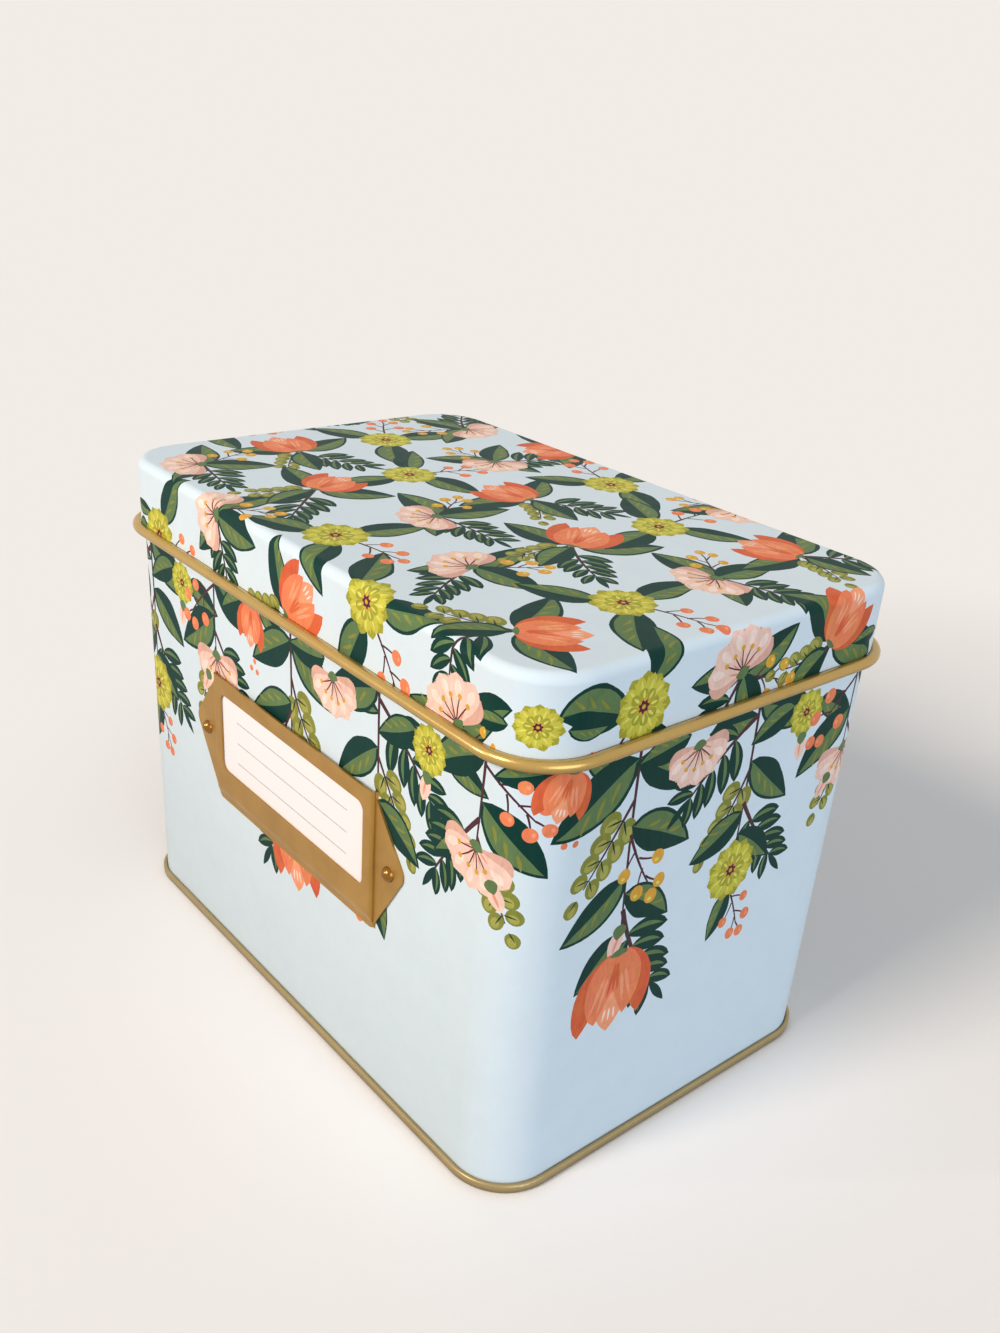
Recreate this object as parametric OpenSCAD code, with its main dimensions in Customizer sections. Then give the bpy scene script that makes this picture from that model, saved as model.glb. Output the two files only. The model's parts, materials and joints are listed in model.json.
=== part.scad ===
// Tinplate box for recipe cards, with a hinged telescoping lid and a pressed label holder.
// Millimetres. X runs along the length, the label is on the -Y side, Z is up.
// The origin is the middle of the footprint, on the table.

/* [Box] */
// Outside length of the body wall
body_l = 160; // [120:1:200]
// Outside width of the body wall, front to back
body_w = 105; // [85:1:140]
// Height over the closed lid
overall_h = 122.7; // [100:0.1:160]
// Outside radius of the four upright corners
corner_r = 13; // [8:0.5:20]
// Thickness of the tinplate
sheet = 0.3; // [0.25:0.01:0.36]

/* [Lid] */
// Height of the lid, from the axis of its curled bead to the top face
lid_depth = 17.2; // [14:0.1:24]
// Outside radius of the lid's soft top edge
lid_edge_r = 2.2; // [1.5:0.1:4]
// Gap between the body wall and the inside of the lid's skirt
skirt_gap = 0.55; // [0.5:0.05:1]
// Height from the body's rim to the underside of the closed lid
lid_rest_gap = 0.15; // [0.1:0.05:1]

/* [Body rim] */
// Radius of the inward curl along the body's rim
rim_curl_r = 1.1; // [0.8:0.1:1.6]
// How far the wall steps in under the lid, so that the skirt swings clear
neck_in = 0.9; // [0.6:0.1:1.4]
// Height of the step above the hinge axis
neck_rise = 5; // [4:0.5:8]

/* [Bottom seam and floor] */
// Height of the bottom double seam
seam_h = 2.4; // [2.2:0.1:3.4]
// Play between the layers of the seam
seam_play = 0.12; // [0.08:0.02:0.2]
// Radius of the seam's foot
foot_r = 0.6; // [0.5:0.05:0.8]
// Height of the floor's upper face above the table
floor_z = 3; // [2.4:0.1:6]
// Rise of the stiffening panel in the floor
panel_rise = 0.7; // [0.5:0.1:1]
// Distance from the body wall to the stiffening panel's edge
panel_inset = 11; // [8:0.5:18]

/* [Hinge] */
// Diameter of the steel wire in the lid's rear bead
wire_d = 1.8; // [1.4:0.1:2.4]
// Play round the wire, in the bead and in the straps
wire_play = 0.08; // [0.04:0.01:0.1]
// Distance from each end of the wire to where the bead turns the corner
wire_end_gap = 3; // [1:0.5:20]
// Distance from each end of the body to the middle of the nearer strap
strap_from_end = 34; // [30:1:45]
// Width of a strap
strap_w = 12; // [8:0.5:16]
// Length of each strap tail, clinched flat inside the wall
strap_tail = 5; // [4:0.5:8]
// Free space at each side of a strap, in the bead's notch
notch_play = 0.5; // [0.4:0.1:1]
// Play between a strap and its slot in the wall
slot_play = 0.1; // [0.05:0.05:0.3]

/* [Label holder] */
// Distance from the hinge axis down to the holder's middle
holder_drop = 43.2; // [26:0.1:60]
// Width of the label window
window_l = 61.8; // [50:0.2:76]
// Height of the label window
window_h = 21; // [16:0.5:26]
// Radius of the window's corners
window_r = 2.2; // [0.6:0.1:3]
// Frame above the window
frame_top = 4.1; // [3:0.1:8]
// Frame at each side of the window
frame_side = 3.4; // [2.4:0.1:6]
// Frame below the window, down to the bend
frame_bottom = 6.1; // [4:0.1:9]
// Height of the slope below the frame
slope_h = 3.6; // [2.4:0.1:6]
// Distance from the wall to the frame's outer face
holder_rise = 1.4; // [1.3:0.1:2.2]
// Thickness of the holder's sheet
holder_sheet = 0.5; // [0.4:0.05:0.6]
// Reach of each ear beyond the raised frame
ear_reach = 10.2; // [8:0.2:14]
// Radius of an ear's tip
ear_tip_r = 3.2; // [2:0.1:4]
// Height of the ears' tips above the holder's middle
ear_tip_lift = 1.5; // [0:0.1:3]
// Radius of the ears' upper and lower corners
ear_corner_r = 1.4; // [0.8:0.1:2.4]
// Drop from the frame's top edge to the ears' upper corners
ear_drop = 0.4; // [0.2:0.1:2]
// Thickness of the label card
card_t = 0.35; // [0.2:0.05:0.4]
// Free space round and behind the card
card_play = 0.15; // [0.1:0.05:0.2]

/* [Rivets] */
// Diameter of a rivet's domed head
rivet_head_d = 3.6; // [2.8:0.1:4]
// Height of the dome
rivet_head_h = 1.4; // [0.8:0.1:1.7]
// Diameter of the shank
rivet_d = 1.5; // [1.2:0.1:1.8]
// Play round the shank
rivet_play = 0.08; // [0.04:0.02:0.15]
// Diameter of the tail that is upset inside the box
rivet_tail_d = 2.6; // [2:0.1:3]
// Height of the upset tail
rivet_tail_h = 0.6; // [0.4:0.1:1]

/* [Hidden] */
$fn = 64;
// A cut reaches this far past what it cuts
over = 1;

// Levels, measured from the table
hinge_z = overall_h - lid_depth;
lid_under_z = overall_h - sheet;
rim_z = lid_under_z - lid_rest_gap;

// The lid's bead: a curl with the wire inside, round the skirt's lower edge
bead_bore_r = wire_d / 2 + wire_play;
bead_r = bead_bore_r + sheet;
bead_u = skirt_gap + bead_r;
bead_y = body_w / 2 + bead_u;
skirt_out = skirt_gap + sheet;
// The curl stops where its edge meets the skirt's outer face
curl_touch = 0.05;
bead_curl_end = 360 + acos(-(bead_bore_r - curl_touch) / bead_r);

// The bottom seam: body hook and end hook interlock
seam_bend_r = sheet / 2 + seam_play;
seam_turn = seam_bend_r + sheet;
body_turn_z = sheet + seam_play + seam_turn;
hook_u = 2 * seam_bend_r;
panel_u = hook_u + sheet + seam_play;
top_turn_u = hook_u + sheet / 2;
top_turn_z = seam_h - seam_turn;
chuck_u = -2 * sheet - seam_play;
floor_bend_r = 0.8;

// Corner radius of the floor's stiffening panel, at its step
panel_r = 6;

// The neck under the lid, and the curl above it
neck_z = hinge_z + neck_rise;
rim_curl_end = 290;
rim_curl_z = rim_z - rim_curl_r;
rim_curl_u = -neck_in - rim_curl_r;

// The side seam of the body, folded flat inside the back wall
side_seam_w = 5;
side_seam_t = 2 * sheet;
side_seam_end = 1;

// The wire lies in the straight part of the rear bead
wire_l = body_l - 2 * corner_r - 2 * wire_end_gap;

// The straps: loop round the wire, neck through the wall, tails clinched inside
// The loop's outside stays just below the bead's
loop_inset = 0.03;
strap_x = body_l / 2 - strap_from_end;
strap_in_r = bead_bore_r;
strap_out_r = bead_r - loop_inset;
strap_t = strap_out_r - strap_in_r;
tail_gap = 0.05;
// The notch leaves this much free above the bead and below it
notch_head = 0.4;
notch_foot = 0.6;

// The label holder, measured from its own middle
holder_z = hinge_z - holder_drop;
frame_l = window_l + 2 * frame_side;
frame_h = frame_top + window_h + frame_bottom;
holder_h = frame_h + slope_h;
holder_top = holder_h / 2;
holder_foot = -holder_h / 2;
window_mid = holder_top - frame_top - window_h / 2;
slope_len = norm([holder_rise, slope_h]);
holder_bend_r = 0.9;
// The raised frame's sides splay this much between the face and the wall
side_splay = 0.35;
ear_hole_x = frame_l / 2 + ear_reach / 2;
// The card stands this far below the frame's top edge
card_drop = 1;
card_r = 0.8;
// A rivet's head and tail bear on the sheet with this gap
rivet_seat_gap = 0.02;
rivet_hole_d = rivet_d + 2 * rivet_play;
front_y = -body_w / 2;

tin_print = [0.77, 0.86, 0.91];
tin_gold = [0.72, 0.56, 0.32];
brass = [0.70, 0.53, 0.28];

// A solid rounded rectangle whose outside lies grow beyond the body wall
module round_block(grow, h, l = body_l, w = body_w, r = corner_r) {
    hx = l / 2 + grow;
    hy = w / 2 + grow;
    cr = r + grow;
    linear_extrude(height = h) {
        square([2 * hx, 2 * (hy - cr)], center = true);
        square([2 * (hx - cr), 2 * hy], center = true);
        for (sx = [-1, 1], sy = [-1, 1])
            translate([sx * (hx - cr), sy * (hy - cr)])
                circle(r = cr);
    }
}

// Carries a profile round the body: its x is the distance out from the body wall, its y is the height
module round_sweep(l = body_l, w = body_w, r = corner_r) {
    for (side = [0:3]) {
        run = side % 2 == 0 ? l - 2 * r : w - 2 * r;
        reach = side % 2 == 0 ? w / 2 : l / 2;
        rotate([0, 0, 90 * side])
            translate([-run / 2, -reach, 0])
                rotate([90, 0, 90])
                    linear_extrude(height = run)
                        mirror([1, 0])
                            children();
    }
    for (quarter = [0:3]) {
        sx = quarter == 0 || quarter == 3 ? 1 : -1;
        sy = quarter < 2 ? 1 : -1;
        translate([sx * (l / 2 - r), sy * (w / 2 - r), 0])
            rotate([0, 0, 90 * quarter])
                rotate_extrude(angle = 90)
                    translate([r, 0])
                        children();
    }
}

// A bend in sheet metal: the arc from a0 to a1 degrees, r_in inside, t thick
module bend(c, r_in, t, a0, a1) {
    far = 3 * (r_in + t);
    steps = ceil((a1 - a0) / 45);
    translate(c)
        intersection() {
            difference() {
                circle(r = r_in + t);
                circle(r = r_in);
            }
            polygon(concat([[0, 0]], [for (k = [0:steps])
                let (a = a0 + (a1 - a0) * k / steps) far * [cos(a), sin(a)]]));
        }
}

// A flat run of sheet between two opposite corners
module run(a, b) {
    translate([min(a[0], b[0]), min(a[1], b[1])])
        square([abs(b[0] - a[0]), abs(b[1] - a[1])]);
}

// Two quarter bends that carry an upright sheet inwards by the given amount, over the same height
module step_in(amount) {
    r_in = (amount - sheet) / 2;
    bend([-r_in - sheet, 0], r_in, sheet, 0, 90);
    bend([-r_in - sheet, amount], r_in, sheet, 180, 270);
}

// Profile of the body wall, from the hook in the bottom seam to the curl on the rim
module body_profile() {
    bend([seam_bend_r, body_turn_z], seam_bend_r, sheet, 180, 360);
    run([hook_u, body_turn_z], [hook_u + sheet, top_turn_z]);
    run([-sheet, body_turn_z], [0, neck_z]);
    translate([0, neck_z])
        step_in(neck_in);
    run([-neck_in - sheet, neck_z + neck_in], [-neck_in, rim_curl_z]);
    bend([rim_curl_u, rim_curl_z], rim_curl_r - sheet, sheet, 0, rim_curl_end);
}

// Hole through the back wall for a strap's neck
module strap_slot(side) {
    translate([side * strap_x, body_w / 2, hinge_z])
        cube([strap_w + 2 * slot_play, 4 * sheet + 2 * over, 2 * (strap_t + slot_play)], center = true);
}

// Wrapped and side-seamed wall, with slots for the straps and holes for the rivets
module body_shell() {
    color(tin_print)
        difference() {
            union() {
                round_sweep()
                    body_profile();
                translate([-side_seam_w / 2, body_w / 2 - sheet - side_seam_t, floor_z + side_seam_end])
                    cube([side_seam_w, side_seam_t + sheet / 2, neck_z - floor_z - 2 * side_seam_end]);
            }
            for (side = [-1, 1]) {
                strap_slot(side);
                translate([side * ear_hole_x, front_y, holder_z])
                    rotate([90, 0, 0])
                        cylinder(d = rivet_hole_d, h = 4 * sheet, center = true);
            }
        }
}

// Profile of the base's edge: floor bend, wall inside the body, foot and end hook
module base_profile() {
    bend([chuck_u + sheet - floor_bend_r, floor_z - floor_bend_r], floor_bend_r - sheet, sheet, 0, 90);
    run([chuck_u, foot_r], [chuck_u + sheet, floor_z - floor_bend_r]);
    bend([chuck_u + foot_r, foot_r], foot_r - sheet, sheet, 180, 270);
    run([chuck_u + foot_r, 0], [panel_u + sheet - foot_r, sheet]);
    bend([panel_u + sheet - foot_r, foot_r], foot_r - sheet, sheet, 270, 360);
    run([panel_u, foot_r], [panel_u + sheet, top_turn_z]);
    bend([top_turn_u, top_turn_z], seam_bend_r, sheet, 0, 180);
    run([seam_play, body_turn_z], [seam_play + sheet, top_turn_z]);
}

// Profile of the step up to the stiffening panel, lying on the floor sheet's middle
module step_up() {
    r_in = (panel_rise - sheet) / 2;
    bend([r_in + sheet / 2, r_in + sheet / 2], r_in, sheet, 180, 270);
    bend([-r_in - sheet / 2, panel_rise - r_in - sheet / 2], r_in, sheet, 0, 90);
}

// Seamed-on floor, with a shallow stiffening panel
module base_panel() {
    panel_l = body_l - 2 * panel_inset;
    panel_w = body_w - 2 * panel_inset;
    under = floor_z - sheet;
    color(tin_gold)
        union() {
            round_sweep()
                base_profile();
            translate([0, 0, under])
                difference() {
                    round_block(chuck_u + sheet - floor_bend_r, sheet);
                    translate([0, 0, -over])
                        round_block(panel_rise / 2, sheet + 2 * over, panel_l, panel_w, panel_r);
                }
            translate([0, 0, under + sheet / 2])
                round_sweep(panel_l, panel_w, panel_r)
                    step_up();
            translate([0, 0, under + panel_rise])
                round_block(-panel_rise / 2, sheet, panel_l, panel_w, panel_r);
        }
}

// Profile of the lid's side: curled bead, skirt and soft top edge
module lid_profile() {
    bend([bead_u, hinge_z], bead_bore_r, sheet, 180, bead_curl_end);
    run([skirt_gap, hinge_z], [skirt_out, overall_h - lid_edge_r]);
    bend([skirt_out - lid_edge_r, overall_h - lid_edge_r], lid_edge_r - sheet, sheet, 0, 90);
}

// Drawn lid, notched at the two straps
module lid_shell() {
    color(tin_print)
        difference() {
            union() {
                round_sweep()
                    lid_profile();
                translate([0, 0, overall_h - sheet])
                    round_block(skirt_out - lid_edge_r, sheet);
            }
            for (side = [-1, 1])
                translate([side * strap_x - strap_w / 2 - notch_play, body_w / 2 + skirt_gap / 2,
                           hinge_z - bead_r - notch_foot])
                    cube([strap_w + 2 * notch_play, 2 * bead_r + over, 2 * bead_r + notch_foot + notch_head]);
        }
}

// Steel wire in the lid's rear bead: the hinge pin
module hinge_wire() {
    color("silver")
        translate([-wire_l / 2, bead_y, hinge_z])
            rotate([0, 90, 0])
                cylinder(d = wire_d, h = wire_l);
}

// Strip folded round the wire, passed through the wall and clinched inside
module hinge_strap(side) {
    wall_in = body_w / 2 - sheet - bead_y;
    tail_face = wall_in - tail_gap;
    // The neck starts inside the loop's own thickness
    neck_start = -sqrt(pow(strap_in_r + strap_t / 2, 2) - pow(strap_t, 2));
    color(brass)
        translate([side * strap_x - strap_w / 2, bead_y, hinge_z])
            rotate([90, 0, 90])
                linear_extrude(height = strap_w) {
                    difference() {
                        union() {
                            circle(r = strap_out_r);
                            run([tail_face - strap_t, -strap_t], [neck_start, strap_t]);
                        }
                        circle(r = strap_in_r);
                    }
                    run([tail_face - strap_t, -strap_tail], [tail_face, strap_tail]);
                }
}

module hinge_strap_left() {
    hinge_strap(-1);
}

module hinge_strap_right() {
    hinge_strap(1);
}

// Height of the holder's slope at a distance out from the wall, on a face inset into the sheet
function slope_z(out, inset) = holder_foot + (inset * slope_len + out * slope_h) / holder_rise;

// The raised part of the holder as a solid, or inset by the sheet as the pocket behind it
module raised_block(inset) {
    out = holder_rise - inset;
    half_l = frame_l / 2 - inset;
    r = holder_bend_r - inset;
    top = holder_top + (inset > 0 ? over : 0);
    behind = inset > 0 ? over : 0;
    intersection() {
        translate([-half_l - side_splay, 0, 0])
            rotate([90, 0, 90])
                linear_extrude(height = 2 * (half_l + side_splay))
                    polygon([[behind, slope_z(-behind, inset)], [-out, slope_z(out, inset)],
                             [-out, top], [behind, top]]);
        translate([0, 0, holder_foot - over])
            linear_extrude(height = holder_h + 3 * over) {
                polygon([[-half_l - side_splay, behind], [-half_l - side_splay, 0], [-half_l, r - out],
                         [half_l, r - out], [half_l + side_splay, 0], [half_l + side_splay, behind]]);
                run([-half_l + r, -out], [half_l - r, 0]);
                for (sx = [-1, 1])
                    translate([sx * (half_l - r), r - out])
                        circle(r = r);
            }
    }
}

// Outline of the flat ears, seen from the front
module ear_outline() {
    corner_x = frame_l / 2 - ear_corner_r;
    hull() {
        for (sx = [-1, 1]) {
            translate([sx * (frame_l / 2 + ear_reach - ear_tip_r), ear_tip_lift])
                circle(r = ear_tip_r, $fn = 32);
            translate([sx * corner_x, holder_top - ear_drop - ear_corner_r])
                circle(r = ear_corner_r, $fn = 32);
            translate([sx * corner_x, holder_foot + ear_corner_r])
                circle(r = ear_corner_r, $fn = 32);
        }
    }
}

// Rounded rectangle, centred
module round_plate(l, h, r) {
    square([l, h - 2 * r], center = true);
    square([l - 2 * r, h], center = true);
    for (sx = [-1, 1], sy = [-1, 1])
        translate([sx * (l / 2 - r), sy * (h / 2 - r)])
            circle(r = r);
}

// Pressed frame: raised round the card, open at the top, with two flat ears
module label_holder() {
    color(brass)
        translate([0, front_y, holder_z])
            difference() {
                union() {
                    raised_block(0);
                    rotate([90, 0, 0])
                        linear_extrude(height = holder_sheet)
                            ear_outline();
                }
                raised_block(holder_sheet);
                translate([0, over + holder_sheet - holder_rise, window_mid])
                    rotate([90, 0, 0])
                        linear_extrude(height = holder_sheet + 2 * over)
                            round_plate(window_l, window_h, window_r);
                for (side = [-1, 1])
                    translate([side * ear_hole_x, over, 0])
                        rotate([90, 0, 0])
                            cylinder(d = rivet_hole_d, h = holder_sheet + 2 * over);
            }
}

// Card behind the window, standing in the holder's pocket
module label_card() {
    card_l = frame_l - 2 * (holder_bend_r + card_play);
    card_back = holder_rise - holder_sheet - card_play - card_t;
    card_foot = slope_z(card_back + card_t, holder_sheet) + card_play;
    card_h = holder_top - card_drop - card_foot;
    color("ivory")
        translate([0, front_y - card_back, holder_z + card_foot + card_h / 2])
            rotate([90, 0, 0])
                linear_extrude(height = card_t)
                    round_plate(card_l, card_h, card_r);
}

// Domed rivet through an ear and the wall, upset inside
module rivet() {
    dome_r = (pow(rivet_head_d / 2, 2) + pow(rivet_head_h, 2)) / (2 * rivet_head_h);
    head_z = holder_sheet + rivet_seat_gap;
    tail_z = -sheet - rivet_seat_gap;
    intersection() {
        translate([0, 0, head_z + rivet_head_h - dome_r])
            sphere(r = dome_r);
        translate([0, 0, head_z])
            cylinder(r = dome_r + over, h = rivet_head_h + over);
    }
    translate([0, 0, tail_z - rivet_tail_h / 2])
        cylinder(d = rivet_d, h = head_z - tail_z + rivet_tail_h);
    translate([0, 0, tail_z - rivet_tail_h])
        cylinder(d = rivet_tail_d, h = rivet_tail_h);
}

module label_rivets() {
    color(brass)
        for (side = [-1, 1])
            translate([side * ear_hole_x, front_y, holder_z])
                rotate([90, 0, 0])
                    rivet();
}

body_shell();
base_panel();
lid_shell();
hinge_wire();
hinge_strap_left();
hinge_strap_right();
label_holder();
label_card();
label_rivets();
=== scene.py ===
import json
import math
import random

import bpy
import numpy as np
from mathutils import Matrix, Vector
from mathutils.geometry import delaunay_2d_cdt

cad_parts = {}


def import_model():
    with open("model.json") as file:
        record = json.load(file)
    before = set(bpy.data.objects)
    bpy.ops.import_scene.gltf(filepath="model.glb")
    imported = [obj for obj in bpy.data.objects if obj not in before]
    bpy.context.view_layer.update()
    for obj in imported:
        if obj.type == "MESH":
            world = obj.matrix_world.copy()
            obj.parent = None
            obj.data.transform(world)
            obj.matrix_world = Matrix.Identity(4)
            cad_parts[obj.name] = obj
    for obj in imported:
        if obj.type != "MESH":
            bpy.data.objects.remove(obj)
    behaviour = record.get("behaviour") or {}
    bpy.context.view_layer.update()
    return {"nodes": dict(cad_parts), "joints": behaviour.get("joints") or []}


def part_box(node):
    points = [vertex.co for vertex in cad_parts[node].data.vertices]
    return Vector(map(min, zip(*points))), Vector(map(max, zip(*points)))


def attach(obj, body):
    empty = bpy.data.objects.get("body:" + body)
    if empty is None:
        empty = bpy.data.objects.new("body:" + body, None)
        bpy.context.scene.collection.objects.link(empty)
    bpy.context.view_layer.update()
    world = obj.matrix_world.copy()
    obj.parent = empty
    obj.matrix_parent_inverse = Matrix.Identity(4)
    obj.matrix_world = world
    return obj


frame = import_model()

# Lengths below are in millimetres, as on the box's drawing, unless a comment says metres
MM = 0.001

# The wall over the tin, the sheet's thickness, the neck under the lid, and the foot of the rim's curl
WALL_L, WALL_W, CORNER_R = 160.0, 105.0, 13.0
SHEET = 0.3
NECK_Z, NECK_IN, NECK_H = 110.5, 0.9, 0.9
CURL_FOOT = 119.9

# The lid: how far its skirt stands out from the wall, and the radius of its top edge
SKIRT_OUT, TOP_EDGE_R = 0.85, 2.2
TOP_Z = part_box("lid_shell")[1].z / MM
HINGE_Z = frame["joints"][0]["pos_m"][2] / MM

# Openings in the print: the lid's strap notches, the back wall's strap slots and the rivet holes
NOTCH_IN, NOTCH_OUT, NOTCH_TOP = 39.4, 52.6, HINGE_Z + 1.8
SLOT_X, SLOT_HALF_L, SLOT_HALF_H = 46.0, 6.25, 0.45
RIVET_X, RIVET_Z, RIVET_HOLE_R = 39.4, 62.3, 0.86

# The print is a film of ink and varnish. Its two faces are this far out from the tin. On the body it starts
# behind the bottom seam's upper edge, and its ends stop short of the side seam in the middle of the back.
FILM_BACK, FILM_FACE = 0.006, 0.03
PRINT_FOOT, SIDE_SEAM_HALF = 1.7, 0.09

# The wall's outline, unrolled. Distance 0 is the middle of the front, and it grows to the right.
HALF_X = WALL_L / 2 - CORNER_R
HALF_Y = WALL_W / 2 - CORNER_R
ARC = CORNER_R * math.pi / 2
ROUND = 4 * (HALF_X + HALF_Y + ARC)
CORNER_STARTS = (HALF_X, HALF_X + ARC + 2 * HALF_Y)

# The lid is drawn from one flat sheet. On the sheet, a point keeps its place on the top face, and what lies
# outside the start of the soft edge goes round that edge and down the skirt.
EDGE_START = SKIRT_OUT - TOP_EDGE_R
EDGE_ARC = TOP_EDGE_R * math.pi / 2
SKIRT_FOOT = HINGE_Z + 1.0
SKIRT_RUN = TOP_Z - TOP_EDGE_R - SKIRT_FOOT
SHEET_REACH = EDGE_START + EDGE_ARC + SKIRT_RUN


def wall_outline(along, out=0.0):
    """Points on the wall's outline, out from it by a distance, and the outward normals there."""
    along = np.asarray(along, float)
    side, a = np.sign(along), np.abs(along)
    front_arc = np.clip((a - CORNER_STARTS[0]) / CORNER_R, 0, math.pi / 2)
    back_arc = np.clip((a - CORNER_STARTS[1]) / CORNER_R, 0, math.pi / 2)
    turn = front_arc + back_arc
    normal_x, normal_y = np.sin(turn), -np.cos(turn)
    front_run = np.clip(a, 0, HALF_X)
    side_run = np.clip(a - HALF_X - ARC, 0, 2 * HALF_Y)
    back_run = np.clip(a - HALF_X - 2 * ARC - 2 * HALF_Y, 0, HALF_X)
    x = front_run - back_run + (CORNER_R + out) * normal_x
    y = -HALF_Y + side_run + (CORNER_R + out) * normal_y
    return np.stack([side * x, y], -1), np.stack([side * normal_x, normal_y], -1)


def on_wall(points, depth):
    """Carries (distance along, height) to the body wall's outer face."""
    place, normal = wall_outline(points[:, 0], depth)
    flat = np.zeros(len(points))
    return np.column_stack([place, points[:, 1]]), np.column_stack([normal, flat])


def sheet_from_skirt(points):
    """Carries (distance along, height) on the lid's skirt to the flat sheet."""
    below = EDGE_ARC + TOP_Z - TOP_EDGE_R - points[:, 1]
    place, normal = wall_outline(points[:, 0])
    return place + normal * (EDGE_START + below)[:, None]


def on_lid(points, depth):
    """Carries a point of the flat sheet to the lid's outer face."""
    reach = np.abs(points) - np.array([HALF_X, HALF_Y])
    corner = np.clip(reach, 0, None)
    length = np.linalg.norm(corner, axis=1)
    normal = corner / np.maximum(length, 1e-9)[:, None] * np.where(points < 0, -1.0, 1.0)
    out = length - CORNER_R
    past = out - EDGE_START
    turn = np.clip(past / TOP_EDGE_R, 0, math.pi / 2)
    radius = TOP_EDGE_R + depth
    at_edge = EDGE_START + radius * np.sin(turn)
    on_edge = points + normal * (at_edge - out)[:, None]
    place = np.where((past > 0)[:, None], on_edge, points)
    height = TOP_Z - TOP_EDGE_R + radius * np.cos(turn) - np.clip(past - EDGE_ARC, 0, None)
    slope = np.column_stack([normal * np.sin(turn)[:, None], np.cos(turn)])
    return np.column_stack([place, height]), slope


# Outlines. Each is a list of points in a motif's own plane.
RIPPLES, ANY_PHASE = (2, 3, 5), 6.28


def wobble(rng, count, amount):
    """A slow closed ripple about 1, as a brush leaves it."""
    turns = np.linspace(0, 2 * math.pi, count, endpoint=False)
    ripple = np.ones(count)
    for waves in RIPPLES:
        height = amount / waves * math.cos(rng.uniform(0, ANY_PHASE))
        ripple += height * np.cos(waves * turns + rng.uniform(0, ANY_PHASE))
    return ripple


def oval(rng, x, y, rx, ry, turn=0.0, count=22, rough=0.05):
    """A brushed oval about x, y, turned anticlockwise by an angle in radians."""
    a = np.linspace(0, 2 * math.pi, count, endpoint=False)
    r = wobble(rng, count, rough)
    px, py = rx * r * np.cos(a), ry * r * np.sin(a)
    c, s = math.cos(turn), math.sin(turn)
    return np.column_stack([x + c * px - s * py, y + s * px + c * py])


def spine(a, b, sag, count):
    """Points and side directions along a bowed line from a to b. sag is the bow's share of the length."""
    a, b = np.asarray(a, float), np.asarray(b, float)
    run = b - a
    across = np.array([-run[1], run[0]])
    middle = (a + b) / 2 + across * sag
    t = np.linspace(0, 1, count)[:, None]
    points = (1 - t) ** 2 * a + 2 * t * (1 - t) * middle + t ** 2 * b
    way = 2 * (1 - t) * (middle - a) + 2 * t * (b - middle)
    way /= np.linalg.norm(way, axis=1)[:, None]
    return points, np.column_stack([-way[:, 1], way[:, 0]])


def lens(rng, a, b, width, sag=0.0, widest=0.5, full=0.85, sides=(1.0, 1.0), count=13, rough=0.05):
    """A leaf or petal from a to b, widest at a share of its length and blunter the smaller full is. sides
    scales its left and right half, so 0 leaves a half leaf."""
    points, across = spine(a, b, sag, count)
    t = np.linspace(0, 1, count)
    half = width / 2 * np.sin(math.pi * t ** (math.log(0.5) / math.log(widest))) ** full
    half[0] = half[-1] = 0
    left = half * sides[0] * wobble(rng, count, rough)
    right = half * sides[1] * wobble(rng, count, rough)
    up = points + across * left[:, None]
    down = points - across * right[:, None]
    return np.concatenate([down, up[-2:0:-1]])


def stroke(rng, a, b, width, sag=0.0):
    """One short brush mark."""
    return lens(rng, a, b, width, sag, widest=0.4, full=0.7, count=7, rough=0.1)


def stem(a, b, width, sag=0.0, tip=0.6, count=9):
    """A bowed stem that narrows to a share of its width at b."""
    points, across = spine(a, b, sag, count)
    half = np.linspace(width / 2, width / 2 * tip, count)[:, None]
    return np.concatenate([points - across * half, (points + across * half)[::-1]])


def at_angle(length, degrees):
    """The point at a distance from the origin, degrees to the right of straight up."""
    return np.array([length * math.sin(math.radians(degrees)), length * math.cos(math.radians(degrees))])


# Motifs. Each grows upwards from its origin and is a list of (layer, ink, outline), with the blooms printed
# over the leaves. A motif's numbers are shares of its size, angles in degrees and counts of points.
LEAVES, BLOOMS = 0, 1


def leaf(rng, size):
    """A broad leaf, one half deep green and one half lighter, with a few brushed veins."""
    sag = rng.uniform(-0.10, 0.10)
    broad = size * rng.uniform(0.43, 0.50)
    whole = lens(rng, (0, 0), (0, size), broad, sag, widest=0.42)
    half = lens(rng, (0, 0.05 * size), (0, 0.95 * size), 0.84 * broad, sag, widest=0.42, sides=(0, 1))
    marks = [(LEAVES, "deep_green", whole), (LEAVES, "moss", half)]
    for at in (0.24, 0.42, 0.6):
        reach = broad * (0.34 - 0.3 * abs(at - 0.4))
        vein = stroke(rng, (0.03 * size, at * size), (reach, (at + 0.17) * size), 0.04 * size, sag=0.1)
        marks.append((LEAVES, "olive", vein))
    rib = lens(rng, (0, 0), (0, 0.9 * size), 0.03 * size, sag, widest=0.3, full=0.6, count=9)
    return marks + [(LEAVES, "moss", rib)]


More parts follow.
